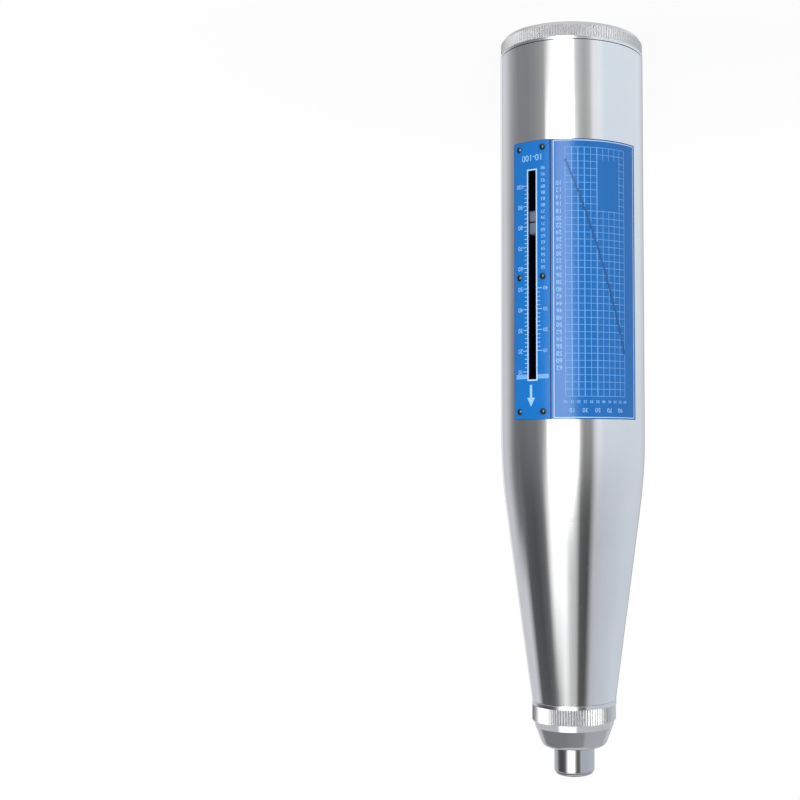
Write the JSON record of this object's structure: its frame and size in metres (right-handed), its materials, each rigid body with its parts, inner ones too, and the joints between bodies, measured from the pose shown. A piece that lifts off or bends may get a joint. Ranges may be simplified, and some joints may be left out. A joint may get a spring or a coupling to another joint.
{
  "type": "concrete rebound hammer",
  "caption": "Hand-held concrete rebound hammer: polished tapering barrel with a plunger, spring-driven mass, latch, blue reading scale with a rider, chart and lock button.",
  "frame": {"origin": "centre of the rear cap's flat end face, on the barrel's axis", "axes": "+Z along the barrel to the plunger, -Y the side with the reading slot, +Y the lock button"},
  "size_m": [0.0543, 0.0625, 0.2756],
  "materials": {
    "polished_aluminium": "turned and polished bright",
    "turned_aluminium": "turned, knurled and bright",
    "nose_metal": "turned, knurled band bright, cone satin",
    "chromed_steel": "hard chromed and polished",
    "machined_steel": "turned and ground",
    "spring_steel": "oil tempered wire",
    "dark_steel": "blackened",
    "blue_plate": "blue enamel, printed",
    "blue_sheet": "printed sheet, satin",
    "rider_plastic": "light grey with a dark line",
    "felt": "pressed felt"
  },
  "bodies": {
    "barrel": {"housing": "polished_aluminium", "rear_cap": "turned_aluminium", "nose_cap": "nose_metal", "scale_plate": "blue_plate", "plate_screws": "dark_steel", "chart_plate": "blue_sheet", "rider_guide_rod": "machined_steel", "impact_spring": "spring_steel", "guide_sleeve": "machined_steel", "split_ring": "machined_steel", "felt_seal": "felt", "compression_spring": "spring_steel", "trip_screw": "dark_steel", "lock_nut": "dark_steel", "button_bush": "turned_aluminium", "button_spring": "spring_steel"},
    "carriage": {"plunger": "chromed_steel", "buffer_spring": "spring_steel", "guide_bar": "machined_steel", "guide_flange": "machined_steel", "pawl_pin": "machined_steel", "pawl_spring": "spring_steel"},
    "hammer": {"hammer_mass": "machined_steel"},
    "hook": {"pawl": "machined_steel"},
    "pointer": {"rider": "rider_plastic", "pointer_blade": "spring_steel"},
    "button": {"push_button": "chromed_steel"}
  },
  "joints": [
    {"name": "plunger_slide", "type": "slide", "parent": "barrel", "child": "carriage", "axis": [0, 0, 1], "range_m": [0, 0.075], "deforming": ["compression_spring"]},
    {"name": "hammer_slide", "type": "slide", "parent": "barrel", "child": "hammer", "axis": [0, 0, 1], "range_m": [-0.075, 0], "stiffness_N_per_m": 785, "springref_m": 0.006, "deforming": ["impact_spring"]},
    {"name": "pawl_turn", "type": "hinge", "parent": "carriage", "child": "hook", "pos_m": [0.015, 0, 0.037], "axis": [0, 1, 0], "range_deg": [0, 14], "stiffness_Nm_per_rad": 0.01, "springref_deg": -17.19, "deforming": ["pawl_spring"]},
    {"name": "rider_slide", "type": "slide", "parent": "barrel", "child": "pointer", "axis": [0, 0, 1], "range_m": [-0.01335, 0.06165]},
    {"name": "button_press", "type": "slide", "parent": "barrel", "child": "button", "axis": [0, -1, 0], "range_m": [0, 0.003], "stiffness_N_per_m": 400, "springref_m": -0.002, "deforming": ["button_spring"]}
  ]
}
